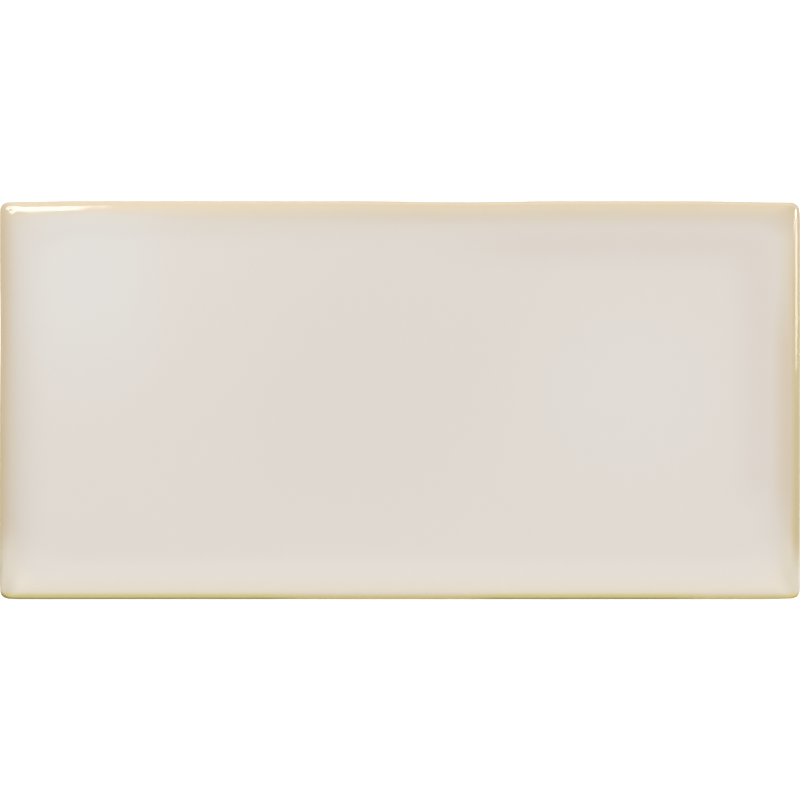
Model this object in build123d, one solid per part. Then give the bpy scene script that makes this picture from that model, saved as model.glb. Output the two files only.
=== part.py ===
# Pressed ceramic subway tile with a pillowed face, lying on its back with the glazed face up.
# X runs along the long side, Y along the short side, and the origin is the middle of the back.

from build123d import *

import os
from math import cos, radians, sin

# Overall size in millimetres, measured at the rim, where the tile is widest
LENGTH = 150.0
WIDTH = 75.0
THICKNESS = 8.0  # from the back to the glazed face

# Pillowed edge: a quarter ellipse from the rim up to the flat of the face
PILLOW_WIDTH = 7.0  # how far in from the rim the face starts to fall away
PILLOW_DROP = 2.2  # how far the rim lies below the face
RIM_CORNER = 1.6  # plan radius of the tile's corners
FACE_CORNER = 6.0  # plan radius of the corners of the flat of the face
PILLOW_CONTOURS = 18  # level outlines that the pillow is drawn through, close enough to keep it fair

# Pressed sides and back
SIDE_DRAFT = 1.5  # degrees that the sides lean in towards the back
BACK_ARRIS = 0.5  # chamfer round the back

# Keying grooves in the back, which the adhesive fills
GROOVE_WIDTH = 6.0
GROOVE_PITCH = 9.5
GROOVE_DEPTH = 0.8
GROOVE_DRAFT = 30.0  # degrees that the groove walls lean
GROOVE_MARGIN = 9.0  # plain border left round the grooves

RIM_HEIGHT = THICKNESS - PILLOW_DROP


def outline(height, inset, corner):
    # Level outline of the tile at one height, drawn in from the rim
    return Plane.XY.offset(height) * RectangleRounded(
        LENGTH - 2 * inset, WIDTH - 2 * inset, corner
    )


def pillow_contour(share):
    # One level outline of the pillow: share 0 is the rim and share 1 the flat of the face
    turn = radians(90 * share)
    inward = 1 - cos(turn)
    return outline(
        RIM_HEIGHT + PILLOW_DROP * sin(turn),
        PILLOW_WIDTH * inward,
        RIM_CORNER + (FACE_CORNER - RIM_CORNER) * inward,
    )


def pressed_block():
    # The tile below the rim: drafted sides and a broken edge round the back
    block = extrude(outline(RIM_HEIGHT, 0, RIM_CORNER), -RIM_HEIGHT, taper=SIDE_DRAFT)
    back = block.faces().sort_by(Axis.Z)[0]
    return chamfer(back.edges(), BACK_ARRIS)


def pillow():
    # The cushion of the face above the rim
    last = PILLOW_CONTOURS - 1
    return loft([pillow_contour(step / last) for step in range(PILLOW_CONTOURS)])


def keying_grooves():
    # Round-ended grooves along the back, an even number so that a land lies on the middle line
    room = WIDTH / 2 - GROOVE_MARGIN
    pairs = int((room + (GROOVE_PITCH - GROOVE_WIDTH) / 2) // GROOVE_PITCH)
    groove = SlotOverall(LENGTH - 2 * GROOVE_MARGIN, GROOVE_WIDTH)
    places = GridLocations(0, GROOVE_PITCH, 1, 2 * pairs)
    return [extrude(place * groove, GROOVE_DEPTH, taper=GROOVE_DRAFT) for place in places]


def tile():
    return pressed_block() + pillow() - keying_grooves()


os.makedirs("parts", exist_ok=True)
export_step(tile(), "parts/tile.step")
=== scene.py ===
import bmesh
import bpy
from math import cos, pi, radians, sin, sqrt, tan
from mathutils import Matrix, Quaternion, Vector, noise


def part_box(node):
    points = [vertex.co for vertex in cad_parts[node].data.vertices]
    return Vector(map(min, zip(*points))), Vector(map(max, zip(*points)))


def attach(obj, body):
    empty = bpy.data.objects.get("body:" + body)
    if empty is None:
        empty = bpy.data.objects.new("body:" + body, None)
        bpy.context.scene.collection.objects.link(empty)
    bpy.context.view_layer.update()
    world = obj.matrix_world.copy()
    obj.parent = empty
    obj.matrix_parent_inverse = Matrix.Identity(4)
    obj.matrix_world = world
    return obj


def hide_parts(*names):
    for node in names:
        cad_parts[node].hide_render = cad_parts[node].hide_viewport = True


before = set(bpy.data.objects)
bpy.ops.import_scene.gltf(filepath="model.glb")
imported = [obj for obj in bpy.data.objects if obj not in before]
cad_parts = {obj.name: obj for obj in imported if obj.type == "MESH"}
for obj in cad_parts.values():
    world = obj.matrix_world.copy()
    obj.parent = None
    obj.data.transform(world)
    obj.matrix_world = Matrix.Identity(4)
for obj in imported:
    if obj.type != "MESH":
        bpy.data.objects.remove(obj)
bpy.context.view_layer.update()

mm = 0.001
lowCorner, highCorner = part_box("tile")
length = highCorner.x - lowCorner.x
width = highCorner.y - lowCorner.y
thickness = highCorner.z

# The pressed and glazed form, at the size of the CAD solid
tileForm = {
    "pillowWidth": 7.0 * mm,  # how far in from the rim the face falls away
    "pillowDrop": 2.2 * mm,  # how far the rim lies below the face
    "rimCorner": 1.6 * mm,
    "faceCorner": 6.0 * mm,
    "cornerFade": 20.0 * mm,  # mesh rings straighten out over this distance inside the flat
    "pillowRings": 22,
    "faceStep": 0.7 * mm,  # mesh spacing on the flat of the face
    "sideDraft": 1.5,  # degrees
    "backArris": 0.5 * mm,
    "arrisTurns": (30, 60, 90),  # degrees, the mesh rows round the back edge
    "sideRows": 6,  # mesh rows on the bare clay of the sides
}
# Where the glaze ends on the sides
glazeLip = {
    "depth": 1.7 * mm,  # below the rim
    "wave": 0.55 * mm,
    "slowWave": (0.75, 70),  # share of the wave, and its scale
    "quickWave": (0.35, 260),
    "bead": 0.07 * mm,  # swelling at the end of the glaze
    "beadRows": ((0.3, 0.0), (0.6, 0.1), (0.78, 0.55), (0.88, 1.0), (0.95, 0.75)),  # shares of depth and bead
    "bareClay": 0.09 * mm,  # the clay lies this far behind the glaze
    "tuck": 0.45,  # share of that step which the last of the glaze takes
    "stepDown": 0.04 * mm,
}
# Small unevenness from pressing and firing
handFeel = {
    "wander": 0.025 * mm,  # of the outline
    "wanderScale": 60,
    "wanderReach": 12.0 * mm,
    "longSidePull": 0.15 * mm,  # the long sides shrink in the kiln by this much
    "faceWave": 0.05 * mm,
    "waveScale": 26,
    "waveInset": 9 * mm,  # the face waves fully from here inwards
    "rimLump": 0.022 * mm,
    "lumpScale": 330,
    "lumpInset": 5 * mm,  # the lumps end here
}
noiseSeeds = {
    "slowLip": 3.1,
    "quickLip": 8.7,
    "wave": 2.2,
    "lump": 5.5,
    "ends": (5.3, 1.7),
    "longs": (7.9, 9.2),
}
backMark = -20.0  # rim distance that marks the points of the grooves, which stay as they are
# Shallow dips along the sides, and swells below nought: middle along the side, reach and depth in mm
sideDips = {
    "far": [(-75, 16, 0.20), (11.5, 21, 0.22), (75, 25, 0.27)],
    "near": [(-75, 4, 0.12), (75, 7, 0.12)],
    "left": [(13, 17, 0.06), (-21, 33, -0.055)],
    "right": [(37.5, 3.5, 0.12), (-2, 34, -0.03)],
}
# Grooves in the back for the adhesive
keyedBack = {
    "grooveWidth": 6.0 * mm,
    "groovePitch": 9.5 * mm,
    "grooveDepth": 0.8 * mm,
    "grooveDraft": 30.0,  # degrees
    "margin": 9.0 * mm,
    "grooveRound": 0.15 * mm,
    "roundSegments": 32,
}


def easeOff(value, reach):
    # 1 at nought, falling smoothly to 0 at reach
    share = min(max(value / reach, 0.0), 1.0)
    return 1 - share * share * (3 - 2 * share)


def waver(x, y, scale, seed):
    # slow noise over the face
    return noise.noise(Vector((x * scale, y * scale, noiseSeeds[seed])))


def wanderAt(along, side, seed):
    # slow noise along one side
    step, start = noiseSeeds[seed]
    return handFeel["wander"] * noise.noise(Vector((along * handFeel["wanderScale"], step * side, start)))


def ringInset(ring, step):
    rings = tileForm["pillowRings"]
    if ring < rings:
        return tileForm["pillowWidth"] * (1 - cos(pi / 2 * ring / rings))
    return tileForm["pillowWidth"] + (ring - rings) * step


def cornerRadius(inset):
    share = inset / tileForm["pillowWidth"]
    if share < 1:
        return tileForm["rimCorner"] + (tileForm["faceCorner"] - tileForm["rimCorner"]) * share
    past = (inset - tileForm["pillowWidth"]) / tileForm["cornerFade"]
    return tileForm["faceCorner"] * max(0.0, 1 - past)


def pillowHeight(inset):
    fromFlat = max(0.0, 1 - inset / tileForm["pillowWidth"])
    return thickness - tileForm["pillowDrop"] * (1 - sqrt(1 - fromFlat * fromFlat))


def easedCorner(steps=400):
    # half of a corner that starts and ends straight, for a corner radius of 1, up to the diagonal
    x = y = 0.0
    points = [(x, y)]
    for step in range(steps):
        share = (step + 0.5) / (2 * steps)
        turn = pi / 2 * (share - sin(2 * pi * share) / (2 * pi))
        x, y = x + cos(turn), y + sin(turn)
        points.append((x, y))
    scale = (1 - sqrt(0.5)) / y
    reach = (x + y) * scale
    return reach, [(reach - x * scale, y * scale) for x, y in points]


cornerReach, cornerPoints = easedCorner()


def roundTheCorner(insetX, insetY):
    # moves a point of the square mesh on to the rounded outline at its own inset
    inset = min(insetX, insetY)
    radius = cornerRadius(inset)
    share = 1 - abs(insetX - insetY) / max(cornerReach * radius, 1e-9)
    if share <= 0:
        return insetX, insetY
    far, near = cornerPoints[round(share * (len(cornerPoints) - 1))]
    far, near = inset + radius * far, inset + radius * near
    return (far, near) if insetX > insetY else (near, far)


def pressFace(tile, rimDistance):
    rings = tileForm["pillowRings"]
    flatX = round((length - 2 * tileForm["pillowWidth"]) / tileForm["faceStep"])
    flatY = round((width - 2 * tileForm["pillowWidth"]) / tileForm["faceStep"])
    stepX = (length - 2 * tileForm["pillowWidth"]) / flatX
    stepY = (width - 2 * tileForm["pillowWidth"]) / flatY
    columns, rows = flatX + 2 * rings, flatY + 2 * rings
    bmesh.ops.create_grid(tile, x_segments=columns, y_segments=rows, size=1)
    for vert in tile.verts:
        column = round((vert.co.x + 1) / 2 * columns)
        row = round((vert.co.y + 1) / 2 * rows)
        squareX = ringInset(min(column, columns - column), stepX)
        squareY = ringInset(min(row, rows - row), stepY)
        inset = min(squareX, squareY)
        insetX, insetY = roundTheCorner(squareX, squareY)
        vert.co.x = (length / 2 - insetX) * (1 if 2 * column > columns else -1)
        vert.co.y = (width / 2 - insetY) * (1 if 2 * row > rows else -1)
        vert.co.z = pillowHeight(inset)
        vert[rimDistance] = inset / mm
    return [edge for edge in tile.edges if edge.is_boundary]


def outwards(vert):
    # outward direction of the rim at one of its points
    first, last = [edge.other_vert(vert).co for edge in vert.link_edges if edge.is_boundary]
    way = Vector((last.y - first.y, first.x - last.x, 0.0)).normalized()
    return way if way.dot(vert.co) > 0 else -way


def lipDepth(place):
    # how far the glaze runs down the side here
    slowShare, slowScale = glazeLip["slowWave"]
    quickShare, quickScale = glazeLip["quickWave"]
    slow = waver(place.x, place.y, slowScale, "slowLip")
    quick = waver(place.x, place.y, quickScale, "quickLip")
    return glazeLip["depth"] + glazeLip["wave"] * (slowShare * slow + quickShare * quick)


def sideProfile(place):
    # (depth below the rim, offset outwards, glazed) down one line of the side
    lip = lipDepth(place)
    foot = thickness - tileForm["pillowDrop"]
    arris = foot - tileForm["backArris"]
    lean = tan(radians(tileForm["sideDraft"]))
    bare = glazeLip["bareClay"]
    profile = []
    for share, swell in glazeLip["beadRows"]:
        profile.append((lip * share, glazeLip["bead"] * swell - lip * share * lean, True))
    profile.append((lip, -bare * glazeLip["tuck"] - lip * lean, True))
    profile.append((lip + glazeLip["stepDown"], -bare - lip * lean, False))
    for row in range(1, tileForm["sideRows"] + 1):
        depth = lip + (arris - lip) * row / tileForm["sideRows"]
        profile.append((depth, -bare - depth * lean, False))
    for turn in tileForm["arrisTurns"]:
        over = tileForm["backArris"] * (1 - cos(radians(turn)))
        down = tileForm["backArris"] * sin(radians(turn))
        profile.append((arris + down, -bare - over - arris * lean, False))
    return profile


def vertAbove(vert, above):
    # the point in the row above that this one was drawn from
    return next(edge.other_vert(vert) for edge in vert.link_edges if edge.other_vert(vert) in above)


def drawSides(tile, rimEdges, rimDistance):
    rimVerts = {vert for edge in rimEdges for vert in edge.verts}
    lines = {vert: (vert.co.copy(), outwards(vert), sideProfile(vert.co)) for vert in rimVerts}
    edges = rimEdges
    for row in range(len(next(iter(lines.values()))[2])):
        above = {vert for edge in edges for vert in edge.verts}
        made = bmesh.ops.extrude_edge_only(tile, edges=edges)["geom"]
        edges = [part for part in made if isinstance(part, bmesh.types.BMEdge) and part.is_boundary]
        below = {vert for edge in edges for vert in edge.verts}
        for vert in below:
            top = vertAbove(vert, above)
            place, way, profile = lines[top]
            depth, offset, glazed = profile[row]
            vert.co = place + way * offset
            vert.co.z = place.z - depth
            vert[rimDistance] = -depth / mm
            lines[vert] = lines[top]
            for face in vert.link_faces:
                if not glazed and all(corner in below or corner in above for corner in face.verts):
                    face.material_index = 1
    return edges


def keyTheBack(tile, backEdges, rimDistance):
    half = keyedBack["grooveWidth"] / 2
    room = width / 2 - keyedBack["margin"]
    pairs = int((room + keyedBack["groovePitch"] / 2 - half) // keyedBack["groovePitch"])
    reach = length / 2 - keyedBack["margin"] - half
    rounding = keyedBack["grooveRound"]
    deep = keyedBack["grooveDepth"]
    lean = tan(radians(keyedBack["grooveDraft"]))
    # (distance from the middle line, height) from the mouth of a groove to its floor
    profile = [
        (half + rounding, 0.0),
        (half + 0.35 * rounding, 0.18 * rounding),
        (half - 0.1 * rounding, 0.8 * rounding),
        (half - (deep - rounding) * lean, deep - rounding),
        (half - deep * lean - 0.25 * rounding, deep - 0.2 * rounding),
        (half - deep * lean - rounding, deep),
    ]
    mouths = []
    for place in range(2 * pairs):
        middle = (place - pairs + 0.5) * keyedBack["groovePitch"]
        ring = bmesh.ops.create_circle(tile, segments=keyedBack["roundSegments"], radius=1.0)["verts"]
        ways = {}
        for vert in ring:
            end = 0.0 if abs(vert.co.x) < 1e-4 else reach if vert.co.x > 0 else -reach
            ways[vert] = (Vector((end, middle, 0.0)), vert.co.copy())
        edges = list({edge for vert in ring for edge in vert.link_edges})
        mouths += edges
        for row, (out, height) in enumerate(profile):
            if row:
                above = {vert for edge in edges for vert in edge.verts}
                made = bmesh.ops.extrude_edge_only(tile, edges=edges)["geom"]
                edges = [part for part in made if isinstance(part, bmesh.types.BMEdge) and part.is_boundary
                         and not any(vert in above for vert in part.verts)]
                for vert in {vert for edge in edges for vert in edge.verts}:
                    ways[vert] = ways[vertAbove(vert, above)]
            for vert in {vert for edge in edges for vert in edge.verts}:
                spine, way = ways[vert]
                vert.co = spine + way * out
                vert.co.z = height
                vert[rimDistance] = backMark
        bmesh.ops.contextual_create(tile, geom=edges)  # the floor of the groove
    filled = bmesh.ops.triangle_fill(tile, edges=backEdges + mouths, use_beauty=True)["geom"]
    return [part for part in filled if isinstance(part, bmesh.types.BMFace)]


def dipAt(side, along):
    return sum(depth * mm * easeOff(abs(along - middle * mm), reach * mm)
               for middle, reach, depth in sideDips[side])


def settle(tile, rimDistance):
    # the outline wanders and dips, the face waves and the rim is lumpy by a few hundredths
    reach = handFeel["wanderReach"]
    for vert in tile.verts:
        if vert[rimDistance] == backMark:
            continue
        x, y = vert.co.x, vert.co.y
        inset = max(vert[rimDistance], 0.0) * mm
        for side, name in ((-1, "left"), (1, "right")):
            drift = wanderAt(y, side, "ends") - dipAt(name, y)
            vert.co.x += side * easeOff(length / 2 - side * x, reach) * drift
        for side, name in ((-1, "near"), (1, "far")):
            drift = wanderAt(x, side, "longs") - dipAt(name, x)
            vert.co.y += side * easeOff(width / 2 - side * y, reach) * drift
        vert.co.y -= handFeel["longSidePull"] * y / (width / 2)
        if vert[rimDistance] >= 0:
            wave = waver(x, y, handFeel["waveScale"], "wave")
            lump = waver(x, y, handFeel["lumpScale"], "lump")
            vert.co.z += handFeel["faceWave"] * wave * (1 - easeOff(inset, handFeel["waveInset"]))
            vert.co.z += handFeel["rimLump"] * lump * easeOff(inset, handFeel["lumpInset"])


def makeTile():
    tile = bmesh.new()
    rimDistance = tile.verts.layers.float.new("rimDistance")
    rimEdges = pressFace(tile, rimDistance)
    print("face pressed:", len(tile.faces), "faces")
    backEdges = drawSides(tile, rimEdges, rimDistance)
    for face in tile.faces:
        face.smooth = True
    before = set(tile.faces)
    flats = keyTheBack(tile, backEdges, rimDistance)
    for face in tile.faces:
        if face not in before:
            face.material_index = 1
            face.smooth = face not in flats and len(face.verts) == 4
    bmesh.ops.recalc_face_normals(tile, faces=tile.faces)
    settle(tile, rimDistance)
    print("sides drawn and back keyed:", len(tile.faces), "faces")
    mesh = bpy.data.meshes.new("glazed_tile")
    tile.to_mesh(mesh)
    openEdges = sum(not edge.is_manifold for edge in tile.edges)
    print("open edges:", openEdges, "triangles:", sum(len(face.verts) - 2 for face in tile.faces))
    tile.free()
    piece = bpy.data.objects.new("glazed_tile", mesh)
    bpy.context.scene.collection.objects.link(piece)
    return piece


def addNode(tree, kind, place, **settings):
    node = tree.nodes.new(kind)
    node.location = place
    for name, value in settings.items():
        setattr(node, name, value)
    return node


def setRamp(node, stops, interpolation="EASE"):
    ramp = node.color_ramp
    ramp.interpolation = interpolation
    while len(ramp.elements) > 1:
        ramp.elements.remove(ramp.elements[-1])
    for index, (position, colour) in enumerate(stops):
        stop = ramp.elements[0] if index == 0 else ramp.elements.new(position)
        stop.position = position
        stop.color = (*colour, 1.0)


def linear(red, green, blue):
    # a screen colour of 0 to 255 as a linear one
    def channel(value):
        value /= 255
        return value / 12.92 if value <= 0.04045 else ((value + 0.055) / 1.055) ** 2.4
    return channel(red), channel(green), channel(blue)


# Colours of the glaze by distance from the rim in mm: it yellows where it thins at the rim and is full on the
# face, and the slight darkening towards the rim is painted shade
glazeColours = {
    0.15: linear(204, 183, 144),
    0.5: linear(210, 189, 153),
    1.2: linear(210, 193, 166),
    2.5: linear(213, 202, 184),
    4.2: linear(214, 206, 195),
    6.0: linear(214.9, 207.4, 198),
    8.0: linear(215.6, 208.4, 200),
    9.9: linear(216, 209, 201),
}
# the cool pale tint of the pools, partly glaze and partly a painted reflection
poolAndSheenColour = linear(216, 213, 208)
glazeFinish = {
    "ior": 1.52,
    "gloss": (0.04, 0.1),  # roughness
    "dryEdge": 0.6,  # roughness of the near edge, where the glaze is too thin to shine
    "thinning": 0.9,  # mm by which the colours wander in and out
    "colourReach": 10.0,  # mm from the rim that the colours above are spread over
    "poolCloud": (0.3, 0.7),  # part of the clay's cloud that breaks up the pools
    "poolLeast": 0.75,
    "poolInset": (1, 4),  # the pools fade in over this distance from the rim, in mm
    "sideFade": (-0.2, 0.0),  # the runs fade out over this depth below the rim, in mm
    "rippleScale": 420,
    "rippleDetail": 2,
    "rippleStrength": 0.12,
    "rippleDepth": 0.02 * mm,
}
# Bands of colour laid over the glaze: a band in mm from the rim, from its start to where it is full, kept to
# one part of the tile by masks. Some are glaze that ran, thinned or drained and changed in colour; many are
# painted light and shade, marked below. Each mask is an axis, or the distance from the rim, with its own
# start and full in mm
halfX, halfY = length / 2 / mm, width / 2 / mm
alongNear = ("Y", 2.0 - halfY, 0.6 - halfY)
# stretches along the near edge where the glaze is thinner and yellower, and where the painted shade of the
# edge is darker still
thinAndShadedLeft, thinAndShadedRight = [("X", -16, -26)], [("X", 11, 20), ("X", 58, 50)]
glazeTonesAndPaintedLight = {
    # near_flat, near_slope, near_left and near_right are painted sheen: the flat, the slope and the corners
    # on the near side are made paler where light reflects there
    "near_flat": {"colour": linear(221, 215, 207), "band": (11, 6), "strength": 0.4,
                  "masks": [("Y", 13 - halfY, 7 - halfY)]},
    "near_slope": {"colour": linear(226, 215, 195), "band": (5, 1.2),
                   "masks": [("Y", 15 - halfY, 2.5 - halfY)]},
    "near_left": {"colour": linear(228, 219, 203), "band": (6.5, 1),
                  "masks": [("Y", 16 - halfY, 4.5 - halfY), ("Y", 1 - halfY, 5 - halfY),
                            ("X", 8 - halfX, 2 - halfX), ("rim", -0.5, 2.5)]},
    "near_right": {"colour": linear(219, 208, 190), "band": (6.5, 1),
                   "masks": [("Y", 14 - halfY, 4.5 - halfY), ("Y", 1 - halfY, 5 - halfY),
                             ("X", halfX - 8, halfX - 2), ("rim", -1, 2)]},
    # far_right and far_slope are painted shade: a darker band inside the far and right slopes, and a darker,
    # warmer far slope
    "far_right": {"colour": linear(213, 204, 195), "band": (14.5, 8), "strength": 0.85,
                  "masks": [("rim", 3.5, 7.5), ("X", 0, 28), ("Y", -22, -14)]},
    "far_slope": {"colour": linear(180, 160, 125), "band": (6.5, 2), "strength": 0.2,
                  "masks": [("Y", halfY - 8, halfY - 4), ("X", -60, 8)]},
    # far_rim is painted light: the far rim is made paler where the light falls on it
    "far_rim": {"colour": linear(209, 193, 166), "band": (0.9, 0.3),
                "masks": [("Y", halfY - 2.6, halfY - 0.8)]},
    # right_slope and right_rim are painted shade on the right, away from the light, and the rim there is also
    # a yellower glaze
    "right_slope": {"colour": linear(208, 193, 171), "band": (7, 1.5),
                    "masks": [("X", halfX - 9, halfX - 4), ("Y", 24, 8), ("Y", -25, -15)]},
    "right_rim": {"colour": linear(202, 184, 138), "band": (2.2, 0.6),
                  "masks": [("X", halfX - 3.2, halfX - 1.6), ("Y", halfY - 7, halfY - 24),
                            ("Y", 3.7 - halfY, 13 - halfY)]},
    "left_rim": {"colour": linear(200, 180, 120), "band": (0.8, 0.1), "strength": 0.6,
                 "masks": [("X", 1.8 - halfX, 0.8 - halfX), ("Y", -1, -9), ("Y", 1 - halfY, 4 - halfY)]},
    "near_rim": {"colour": linear(231, 213, 140), "band": (1.5, 0.35), "masks": [alongNear]},
    "drained_left": {"colour": linear(225, 212, 133), "band": (1.77, 0.66),
                     "masks": [alongNear] + thinAndShadedLeft},
    "drained_right": {"colour": linear(225, 212, 133), "band": (1.77, 0.66),
                      "masks": [alongNear] + thinAndShadedRight},
    # near_edge, edge_left and edge_right are painted shade on the near edge, which turns away from the light,
    # with the olive yellow of thin glaze over the clay
    "near_edge": {"colour": linear(188, 163, 80), "band": (0.32, 0.08), "masks": [alongNear]},
    "edge_left": {"colour": linear(138, 120, 52), "band": (0.45, 0.1),
                  "masks": [alongNear] + thinAndShadedLeft},
    "edge_right": {"colour": linear(138, 120, 52), "band": (0.45, 0.1),
                   "masks": [alongNear] + thinAndShadedRight},
}
# Pools of thicker, cooler glaze on the flat, whose cool pale tint is partly a painted reflection: middle and
# reach in mm
poolsAndPaintedSheen = {
    "left_pool": {"middle": (-58, 22), "reach": (22, 33), "strength": 1.0},
    "right_pool": {"middle": (42, 3), "reach": (33, 30), "strength": 0.45},
}
# A pinhole in the glaze at the far left corner, in mm
glazePit = {"middle": (-72.95, 35.45), "radius": 0.36, "depth": 0.035}
firedClay = {
    "clay": linear(222, 205, 178),
    "clayDark": linear(205, 184, 152),
    "cloudScale": 55,
    "cloudDetail": 4,
    "cloudSpan": (0.3, 0.7),  # part of the cloud between the dark clay and the pale
    "grainScale": 1900,
    "grainDetail": 5,
    "grainRoughness": 0.65,
    "grainSpan": (0.3, 0.7),
    "dryness": (0.8, 0.95),  # roughness
    "specular": 0.25,
    "speck": linear(168, 138, 100),
    "speckScale": 420,
    "speckSize": (0.16, 0.06),  # from the edge of a speck to its full colour
    "speckStrength": 0.6,
    "bumpStrength": 0.5,
    "bumpDepth": 0.06 * mm,
}


def makeClayTone():
    # fired clay: its tone and its grain, for bare clay and for clay that shows through thin glaze
    group = bpy.data.node_groups.new("clay_tone", "ShaderNodeTree")
    sockets = group.interface
    sockets.new_socket("Vector", in_out="INPUT", socket_type="NodeSocketVector")
    sockets.new_socket("Tone", in_out="OUTPUT", socket_type="NodeSocketFloat")
    sockets.new_socket("Grain", in_out="OUTPUT", socket_type="NodeSocketFloat")
    entry = addNode(group, "NodeGroupInput", (-600, 0))
    leave = addNode(group, "NodeGroupOutput", (400, 0))
    cloud = addNode(group, "ShaderNodeTexNoise", (-350, 150))
    cloud.inputs["Scale"].default_value = firedClay["cloudScale"]
    cloud.inputs["Detail"].default_value = firedClay["cloudDetail"]
    grain = addNode(group, "ShaderNodeTexNoise", (-350, -150))
    grain.inputs["Scale"].default_value = firedClay["grainScale"]
    grain.inputs["Detail"].default_value = firedClay["grainDetail"]
    grain.inputs["Roughness"].default_value = firedClay["grainRoughness"]
    for texture, name in ((cloud, "Tone"), (grain, "Grain")):
        group.links.new(entry.outputs["Vector"], texture.inputs["Vector"])
        group.links.new(texture.outputs["Fac"], leave.inputs[name])
    return group


def setRange(node, start, full, low=0.0, high=1.0):
    # what a Map Range node reads, from start to full, and what it gives there
    for name, value in (("From Min", start), ("From Max", full), ("To Min", low), ("To Max", high)):
        node.inputs[name].default_value = value


def spot(tree, vector, middle, reach, place):
    # a soft oval on the face: 1 in its middle, falling to 0 at its reach
    x, y = place
    shift = addNode(tree, "ShaderNodeVectorMath", (x, y), operation="SUBTRACT")
    shift.inputs[1].default_value = (middle[0] * mm, middle[1] * mm, 0)
    tree.links.new(vector, shift.inputs[0])
    share = addNode(tree, "ShaderNodeVectorMath", (x + 150, y), operation="MULTIPLY")
    share.inputs[1].default_value = (1 / (reach[0] * mm), 1 / (reach[1] * mm), 0)
    tree.links.new(shift.outputs["Vector"], share.inputs[0])
    far = addNode(tree, "ShaderNodeVectorMath", (x + 300, y), operation="LENGTH")
    tree.links.new(share.outputs["Vector"], far.inputs[0])
    soft = addNode(tree, "ShaderNodeMapRange", (x + 450, y), interpolation_type="SMOOTHSTEP")
    setRange(soft, 0, 1, 1, 0)
    tree.links.new(far.outputs["Value"], soft.inputs["Value"])
    return soft


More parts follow.
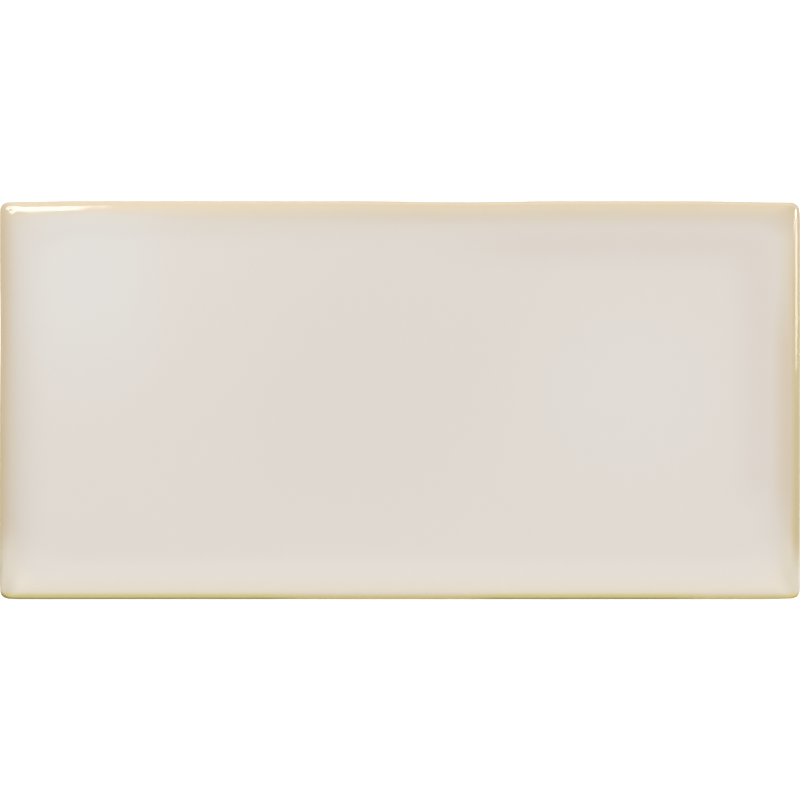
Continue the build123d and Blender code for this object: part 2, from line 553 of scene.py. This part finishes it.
def makeGlaze(clayTone):
    material = bpy.data.materials.new("cream_glaze")
    material.use_nodes = True
    tree = material.node_tree
    link = tree.links.new
    shader = tree.nodes["Principled BSDF"]
    shader.inputs["IOR"].default_value = glazeFinish["ior"]

    place = addNode(tree, "ShaderNodeTexCoord", (-1500, 0))
    rim = addNode(tree, "ShaderNodeAttribute", (-1500, 300), attribute_name="rimDistance")
    tone = addNode(tree, "ShaderNodeGroup", (-1250, -50), node_tree=clayTone)
    link(place.outputs["Object"], tone.inputs["Vector"])

    # the glaze thins and yellows unevenly towards the rim, where the ramp also paints shade
    split = addNode(tree, "ShaderNodeSeparateXYZ", (-1250, -350))
    link(place.outputs["Object"], split.inputs["Vector"])
    spread = addNode(tree, "ShaderNodeMath", (-1000, 250), operation="MULTIPLY_ADD")
    spread.inputs[1].default_value = glazeFinish["thinning"]
    link(tone.outputs["Tone"], spread.inputs[0])
    link(rim.outputs["Fac"], spread.inputs[2])
    share = addNode(tree, "ShaderNodeMapRange", (-800, 250))
    middle = glazeFinish["thinning"] / 2
    setRange(share, middle, middle + glazeFinish["colourReach"])
    link(spread.outputs[0], share.inputs["Value"])
    edge = addNode(tree, "ShaderNodeValToRGB", (-600, 300))
    stops = [(distance / glazeFinish["colourReach"], colour) for distance, colour in glazeColours.items()]
    setRamp(edge, stops, "LINEAR")
    link(share.outputs["Result"], edge.inputs["Fac"])

    # thicker, cooler pools on the flat, partly painted reflection
    poolNoise = addNode(tree, "ShaderNodeMapRange", (-1000, -50))
    setRange(poolNoise, *glazeFinish["poolCloud"], glazeFinish["poolLeast"])
    link(tone.outputs["Tone"], poolNoise.inputs["Value"])
    inside = addNode(tree, "ShaderNodeMapRange", (-1000, 50), interpolation_type="SMOOTHSTEP")
    setRange(inside, *glazeFinish["poolInset"])
    link(rim.outputs["Fac"], inside.inputs["Value"])
    poolShare = addNode(tree, "ShaderNodeMath", (-800, 0), operation="MULTIPLY")
    link(poolNoise.outputs["Result"], poolShare.inputs[0])
    link(inside.outputs["Result"], poolShare.inputs[1])
    colour = edge.outputs["Color"]
    for step, pool in enumerate(poolsAndPaintedSheen.values()):
        mask = spot(tree, place.outputs["Object"], pool["middle"], pool["reach"], (-1000, -700 - 200 * step))
        setRange(mask, 0, 1, pool["strength"], 0)
        share = addNode(tree, "ShaderNodeMath", (-400, -700 - 200 * step), operation="MULTIPLY")
        link(mask.outputs["Result"], share.inputs[0])
        link(poolShare.outputs[0], share.inputs[1])
        pooled = addNode(tree, "ShaderNodeMix", (-400 + 180 * step, 450), data_type="RGBA")
        pooled.inputs["B"].default_value = (*poolAndSheenColour, 1.0)
        link(share.outputs[0], pooled.inputs["Factor"])
        link(colour, pooled.inputs["A"])
        colour = pooled.outputs["Result"]

    # the bands of glaze colour and of painted light and shade, each laid over the ones before it
    dull = None
    for step, (name, toneBand) in enumerate(glazeTonesAndPaintedLight.items()):
        amount = None
        limits = [("rim", *toneBand["band"]), ("rim", *glazeFinish["sideFade"])] + toneBand["masks"]
        for row, (source, start, full) in enumerate(limits):
            height = -200 - 900 * step - 170 * row
            share = addNode(tree, "ShaderNodeMapRange", (-1000, height), interpolation_type="SMOOTHSTEP")
            unit = 1 if source == "rim" else mm
            setRange(share, start * unit, full * unit)
            link(rim.outputs["Fac"] if source == "rim" else split.outputs[source], share.inputs["Value"])
            if amount is None:
                share.inputs["To Max"].default_value = toneBand.get("strength", 1)
                amount = share.outputs["Result"]
                continue
            times = addNode(tree, "ShaderNodeMath", (-700, height), operation="MULTIPLY")
            link(amount, times.inputs[0])
            link(share.outputs["Result"], times.inputs[1])
            amount = times.outputs[0]
        toned = addNode(tree, "ShaderNodeMix", (180 * step, 450), data_type="RGBA")
        toned.inputs["B"].default_value = (*toneBand["colour"], 1.0)
        link(amount, toned.inputs["Factor"])
        link(colour, toned.inputs["A"])
        colour = toned.outputs["Result"]
        if name == "near_edge":
            dull = amount
    link(colour, shader.inputs["Base Color"])

    # glassy, but too thin to shine on the near edge
    gloss = addNode(tree, "ShaderNodeMapRange", (-350, -50))
    setRange(gloss, 0, 1, *glazeFinish["gloss"])
    link(tone.outputs["Tone"], gloss.inputs["Value"])
    dry = addNode(tree, "ShaderNodeMapRange", (-150, -50))
    dry.inputs["To Max"].default_value = glazeFinish["dryEdge"]
    link(dull, dry.inputs["Value"])
    link(gloss.outputs["Result"], dry.inputs["To Min"])
    link(dry.outputs["Result"], shader.inputs["Roughness"])
    # the faintest ripple, and the pinhole
    ripple = addNode(tree, "ShaderNodeTexNoise", (-600, -450))
    ripple.inputs["Scale"].default_value = glazeFinish["rippleScale"]
    ripple.inputs["Detail"].default_value = glazeFinish["rippleDetail"]
    link(place.outputs["Object"], ripple.inputs["Vector"])
    pit = spot(tree, place.outputs["Object"], glazePit["middle"], [glazePit["radius"]] * 2, (-1000, -1200))
    setRange(pit, 0, 1)
    dimple = addNode(tree, "ShaderNodeBump", (-350, -450))
    dimple.inputs["Strength"].default_value = 1
    dimple.inputs["Distance"].default_value = glazePit["depth"] * mm
    link(pit.outputs["Result"], dimple.inputs["Height"])
    bump = addNode(tree, "ShaderNodeBump", (-150, -300))
    bump.inputs["Strength"].default_value = glazeFinish["rippleStrength"]
    bump.inputs["Distance"].default_value = glazeFinish["rippleDepth"]
    link(ripple.outputs["Fac"], bump.inputs["Height"])
    link(dimple.outputs["Normal"], bump.inputs["Normal"])
    link(bump.outputs["Normal"], shader.inputs["Normal"])
    return material


def makeClay(clayTone):
    material = bpy.data.materials.new("fired_clay")
    material.use_nodes = True
    tree = material.node_tree
    link = tree.links.new
    shader = tree.nodes["Principled BSDF"]
    shader.inputs["Specular IOR Level"].default_value = firedClay["specular"]

    place = addNode(tree, "ShaderNodeTexCoord", (-1200, 0))
    tone = addNode(tree, "ShaderNodeGroup", (-1000, 100), node_tree=clayTone)
    link(place.outputs["Object"], tone.inputs["Vector"])
    body = addNode(tree, "ShaderNodeValToRGB", (-750, 200))
    darkest, palest = firedClay["cloudSpan"]
    setRamp(body, [(darkest, firedClay["clayDark"]), (palest, firedClay["clay"])])
    link(tone.outputs["Tone"], body.inputs["Fac"])

    specks = addNode(tree, "ShaderNodeTexVoronoi", (-1000, -200))
    specks.inputs["Scale"].default_value = firedClay["speckScale"]
    link(place.outputs["Object"], specks.inputs["Vector"])
    speckMask = addNode(tree, "ShaderNodeMapRange", (-750, -200), interpolation_type="SMOOTHSTEP")
    setRange(speckMask, *firedClay["speckSize"], 0, firedClay["speckStrength"])
    link(specks.outputs["Distance"], speckMask.inputs["Value"])
    speckled = addNode(tree, "ShaderNodeMix", (-450, 150), data_type="RGBA")
    speckled.inputs["B"].default_value = (*firedClay["speck"], 1.0)
    link(speckMask.outputs["Result"], speckled.inputs["Factor"])
    link(body.outputs["Color"], speckled.inputs["A"])
    link(speckled.outputs["Result"], shader.inputs["Base Color"])

    # dry and open, a little smoother where the press closed the grain
    dry = addNode(tree, "ShaderNodeMapRange", (-300, 0))
    setRange(dry, *firedClay["grainSpan"], *firedClay["dryness"])
    link(tone.outputs["Grain"], dry.inputs["Value"])
    link(dry.outputs["Result"], shader.inputs["Roughness"])
    bump = addNode(tree, "ShaderNodeBump", (-300, -200))
    bump.inputs["Strength"].default_value = firedClay["bumpStrength"]
    bump.inputs["Distance"].default_value = firedClay["bumpDepth"]
    link(tone.outputs["Grain"], bump.inputs["Height"])
    link(bump.outputs["Normal"], shader.inputs["Normal"])
    return material


# Crisp softboxes that draw the bright streaks on the rim: where each hangs, what it faces and its size in mm.
# One for gloss only shows in the glaze and lights nothing
softboxes = {
    "far_softbox": {"place": (-152, 410, 332), "aim": (-109, 53, -15), "across": 108, "tall": 142,
                    "roll": -7.5, "radiance": 8.0},
    "corner_softbox": {"place": (-250, 324, 373), "aim": (-73, 40, 1), "across": 220, "tall": 174,
                       "roll": 13, "radiance": 7.4},
    "right_softbox": {"place": (541, 43, 180), "aim": (73, 43, 7), "across": 64, "tall": 145,
                      "roll": 0, "radiance": 7.0},
    "right_corner_softbox": {"place": (486, 179, 249), "aim": (70, 44, 7), "across": 175, "tall": 140,
                             "roll": 0, "radiance": 11.0},
    "right_glint": {"place": (467, 165, 286), "aim": (74, 33.4, 6.5), "across": 222, "tall": 72,
                    "roll": 0, "radiance": 9.0, "glossOnly": True},
}
# Wide soft glows of the room: where each lies and how far it reaches, in degrees. The core is the share of
# that reach which is fully bright
glows = {
    "far_glow": {"azimuth": 90, "fromAbove": 80, "across": 24, "tall": 60, "core": 0.5, "radiance": 1.7},
    "near_glow": {"azimuth": -90, "fromAbove": 30, "across": 30, "tall": 36, "core": 0.35, "radiance": 2.46},
    "near_strip": {"azimuth": -90, "fromAbove": 63, "across": 30, "tall": 20, "core": 0.3, "radiance": 0.8},
    "near_window": {"azimuth": -90, "fromAbove": 5, "across": 14, "tall": 6, "core": 0.0, "radiance": 0.9},
    "left_window": {"azimuth": 159, "fromAbove": 4.8, "across": 4.5, "tall": 4, "core": 0.0, "radiance": 0.6},
    "right_window": {"azimuth": 0, "fromAbove": 3.6, "across": 4, "tall": 4, "core": 0.0, "radiance": 0.4},
    "under_glow": {"azimuth": 75, "fromAbove": 128, "across": 30, "tall": 26, "core": 0.2, "radiance": 3.6},
}
studio = {
    "roomLight": 0.099,  # even light from all round
    "underLight": 0.45,  # the same from below the floor
    "horizon": 0.05,  # the one blends into the other over this much of the height
    "floorPaper": 0.82,
    "floorLift": 0.6,  # lifts the floor to white where it is seen
    "floorHalf": 3.0,  # metres from the tile to the ends of the floor
    "openingInset": 0.9 * mm,
}
cameraView = {"lens": 180, "sensor": 36, "clipStart": 0.01, "clipEnd": 10}


def hangSoftbox(name, box):
    place, aim = Vector(box["place"]) * mm, Vector(box["aim"]) * mm
    lamp = bpy.data.lights.new(name, "AREA")
    lamp.shape = "RECTANGLE"
    lamp.size, lamp.size_y = box["across"] * mm, box["tall"] * mm
    lamp.energy = box["radiance"] * pi * lamp.size * lamp.size_y
    softbox = bpy.data.objects.new(name, lamp)
    softbox.location = place
    softbox.rotation_mode = "QUATERNION"
    facing = (aim - place).to_track_quat("-Z", "Y")
    softbox.rotation_quaternion = facing @ Quaternion((0, 0, 1), radians(box["roll"]))
    softbox.visible_camera = False
    softbox.visible_diffuse = not box.get("glossOnly", False)
    bpy.context.scene.collection.objects.link(softbox)


def makeSoftGlow():
    # brightness of one glow in a direction: full in its core and falling off smoothly to its edges
    group = bpy.data.node_groups.new("soft_glow", "ShaderNodeTree")
    link = group.links.new
    sockets = group.interface
    for name in ("Direction", "Way", "Across", "Up"):
        sockets.new_socket(name, in_out="INPUT", socket_type="NodeSocketVector")
    for name in ("Half Across", "Half Up", "Core", "Radiance"):
        sockets.new_socket(name, in_out="INPUT", socket_type="NodeSocketFloat")
    sockets.new_socket("Radiance", in_out="OUTPUT", socket_type="NodeSocketFloat")
    entry = addNode(group, "NodeGroupInput", (-1000, 0))
    leave = addNode(group, "NodeGroupOutput", (600, 0))

    def along(name, height):
        dot = addNode(group, "ShaderNodeVectorMath", (-750, height), operation="DOT_PRODUCT")
        link(entry.outputs["Direction"], dot.inputs[0])
        link(entry.outputs[name], dot.inputs[1])
        return dot.outputs["Value"]

    def fallOff(name, half, height):
        size = addNode(group, "ShaderNodeMath", (-550, height), operation="ABSOLUTE")
        share = addNode(group, "ShaderNodeMath", (-350, height), operation="DIVIDE")
        soft = addNode(group, "ShaderNodeMapRange", (-150, height), interpolation_type="SMOOTHSTEP")
        link(along(name, height), size.inputs[0])
        link(size.outputs[0], share.inputs[0])
        link(entry.outputs[half], share.inputs[1])
        link(share.outputs[0], soft.inputs["Value"])
        link(entry.outputs["Core"], soft.inputs["From Min"])
        setRange(soft, 0, 1, 1, 0)
        return soft.outputs["Result"]

    front = addNode(group, "ShaderNodeMath", (-150, 400), operation="GREATER_THAN")
    front.inputs[1].default_value = 0
    link(along("Way", 400), front.inputs[0])
    amount = entry.outputs["Radiance"]
    shares = (front.outputs[0], fallOff("Across", "Half Across", 150), fallOff("Up", "Half Up", -150))
    for step, share in enumerate(shares):
        times = addNode(group, "ShaderNodeMath", (100 + 160 * step, 0), operation="MULTIPLY")
        link(amount, times.inputs[0])
        link(share, times.inputs[1])
        amount = times.outputs[0]
    link(amount, leave.inputs["Radiance"])
    return group


def seenDirectly(tree, place):
    # 1 for what the camera sees itself, or in gloss or glass
    path = addNode(tree, "ShaderNodeLightPath", place)
    first = addNode(tree, "ShaderNodeMath", (place[0] + 200, place[1]), operation="ADD")
    second = addNode(tree, "ShaderNodeMath", (place[0] + 400, place[1]), operation="ADD", use_clamp=True)
    tree.links.new(path.outputs["Is Camera Ray"], first.inputs[0])
    tree.links.new(path.outputs["Is Glossy Ray"], first.inputs[1])
    tree.links.new(first.outputs[0], second.inputs[0])
    tree.links.new(path.outputs["Is Transmission Ray"], second.inputs[1])
    return second.outputs[0]


def lightRoom():
    world = bpy.data.worlds.new("soft_room")
    bpy.context.scene.world = world
    world.use_nodes = True
    tree = world.node_tree
    tree.nodes.clear()
    link = tree.links.new
    softGlow = makeSoftGlow()
    way = addNode(tree, "ShaderNodeTexCoord", (-1400, 0))
    # below the floor the room is bright, so that the back can be looked at
    height = addNode(tree, "ShaderNodeSeparateXYZ", (-1200, 500))
    link(way.outputs["Generated"], height.inputs["Vector"])
    fill = addNode(tree, "ShaderNodeMapRange", (-1000, 500))
    setRange(fill, 0, -studio["horizon"], studio["roomLight"], studio["underLight"])
    link(height.outputs["Z"], fill.inputs["Value"])
    white = addNode(tree, "ShaderNodeMapRange", (-900, 300))
    link(fill.outputs["Result"], white.inputs["To Min"])
    white.inputs["To Max"].default_value = 1
    link(seenDirectly(tree, (-1500, 300)), white.inputs["Value"])
    total = white.outputs["Result"]
    for step, (name, glow) in enumerate(glows.items()):
        turn, tilt = radians(glow["azimuth"]), radians(glow["fromAbove"])
        middle = Vector((cos(turn) * sin(tilt), sin(turn) * sin(tilt), cos(tilt)))
        across = Vector((-sin(turn), cos(turn), 0))
        node = addNode(tree, "ShaderNodeGroup", (-1100, -250 * step), node_tree=softGlow, name=name)
        node.inputs["Way"].default_value = middle
        node.inputs["Across"].default_value = across
        node.inputs["Up"].default_value = middle.cross(across)
        node.inputs["Half Across"].default_value = sin(radians(glow["across"]))
        node.inputs["Half Up"].default_value = sin(radians(glow["tall"]))
        node.inputs["Core"].default_value = glow["core"]
        node.inputs["Radiance"].default_value = glow["radiance"]
        link(way.outputs["Generated"], node.inputs["Direction"])
        add = addNode(tree, "ShaderNodeMath", (-800 + 160 * step, -100), operation="ADD")
        link(total, add.inputs[0])
        link(node.outputs["Radiance"], add.inputs[1])
        total = add.outputs[0]
    room = addNode(tree, "ShaderNodeBackground", (0, 0))
    room.inputs["Color"].default_value = (1, 1, 1, 1)
    link(total, room.inputs["Strength"])
    out = addNode(tree, "ShaderNodeOutputWorld", (200, 0))
    link(room.outputs[0], out.inputs["Surface"])


def layFloor():
    # the sheet is open under the tile, where light from below reaches the back
    sheet = bmesh.new()
    bmesh.ops.create_grid(sheet, x_segments=3, y_segments=3, size=studio["floorHalf"])
    for vert in sheet.verts:
        for axis, half in ((0, length / 2), (1, width / 2)):
            if abs(vert.co[axis]) < studio["floorHalf"] / 2:
                vert.co[axis] = (half - studio["openingInset"]) * (1 if vert.co[axis] > 0 else -1)
    opening = [face for face in sheet.faces if face.calc_center_median().length < width / 2]
    bmesh.ops.delete(sheet, geom=opening, context="FACES_ONLY")
    mesh = bpy.data.meshes.new("studio_floor")
    sheet.to_mesh(mesh)
    sheet.free()
    floor = bpy.data.objects.new("studio_floor", mesh)
    bpy.context.scene.collection.objects.link(floor)
    material = bpy.data.materials.new("pale_floor")
    material.use_nodes = True
    tree = material.node_tree
    tree.nodes.clear()
    link = tree.links.new
    paper = addNode(tree, "ShaderNodeBsdfDiffuse", (-400, 100))
    paper.inputs["Color"].default_value = (*[studio["floorPaper"]] * 3, 1)
    lift = addNode(tree, "ShaderNodeEmission", (-400, -50))
    seen = addNode(tree, "ShaderNodeMath", (-600, -50), operation="MULTIPLY")
    seen.inputs[1].default_value = studio["floorLift"]
    link(seenDirectly(tree, (-1200, 0)), seen.inputs[0])
    link(seen.outputs[0], lift.inputs["Strength"])
    lit = addNode(tree, "ShaderNodeAddShader", (-200, 50))
    link(paper.outputs[0], lit.inputs[0])
    link(lift.outputs[0], lit.inputs[1])
    # seen from below, the floor is left out
    under = addNode(tree, "ShaderNodeBsdfTransparent", (-200, -100))
    side = addNode(tree, "ShaderNodeNewGeometry", (-400, 350))
    choose = addNode(tree, "ShaderNodeMixShader", (0, 50))
    link(side.outputs["Backfacing"], choose.inputs["Fac"])
    link(lit.outputs[0], choose.inputs[1])
    link(under.outputs[0], choose.inputs[2])
    out = addNode(tree, "ShaderNodeOutputMaterial", (200, 50))
    link(choose.outputs[0], out.inputs["Surface"])
    mesh.materials.append(material)


def setCamera():
    lens = bpy.data.cameras.new("camera")
    lens.lens, lens.sensor_width = cameraView["lens"], cameraView["sensor"]
    rimHeight = thickness - tileForm["pillowDrop"]
    camera = bpy.data.objects.new("camera", lens)
    # the length of the tile fills the frame at the height of its rim
    camera.location = (0, 0, rimHeight + length * lens.lens / lens.sensor_width)
    lens.clip_start, lens.clip_end = cameraView["clipStart"], cameraView["clipEnd"]
    bpy.context.scene.collection.objects.link(camera)
    bpy.context.scene.camera = camera


bpy.context.scene.view_settings.view_transform = "Standard"
tilePiece = makeTile()
clayTone = makeClayTone()
tilePiece.data.materials.append(makeGlaze(clayTone))
tilePiece.data.materials.append(makeClay(clayTone))
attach(tilePiece, "root")
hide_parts("tile")
print("tile glazed")

for name, box in softboxes.items():
    hangSoftbox(name, box)
lightRoom()
layFloor()
setCamera()
print("studio set")
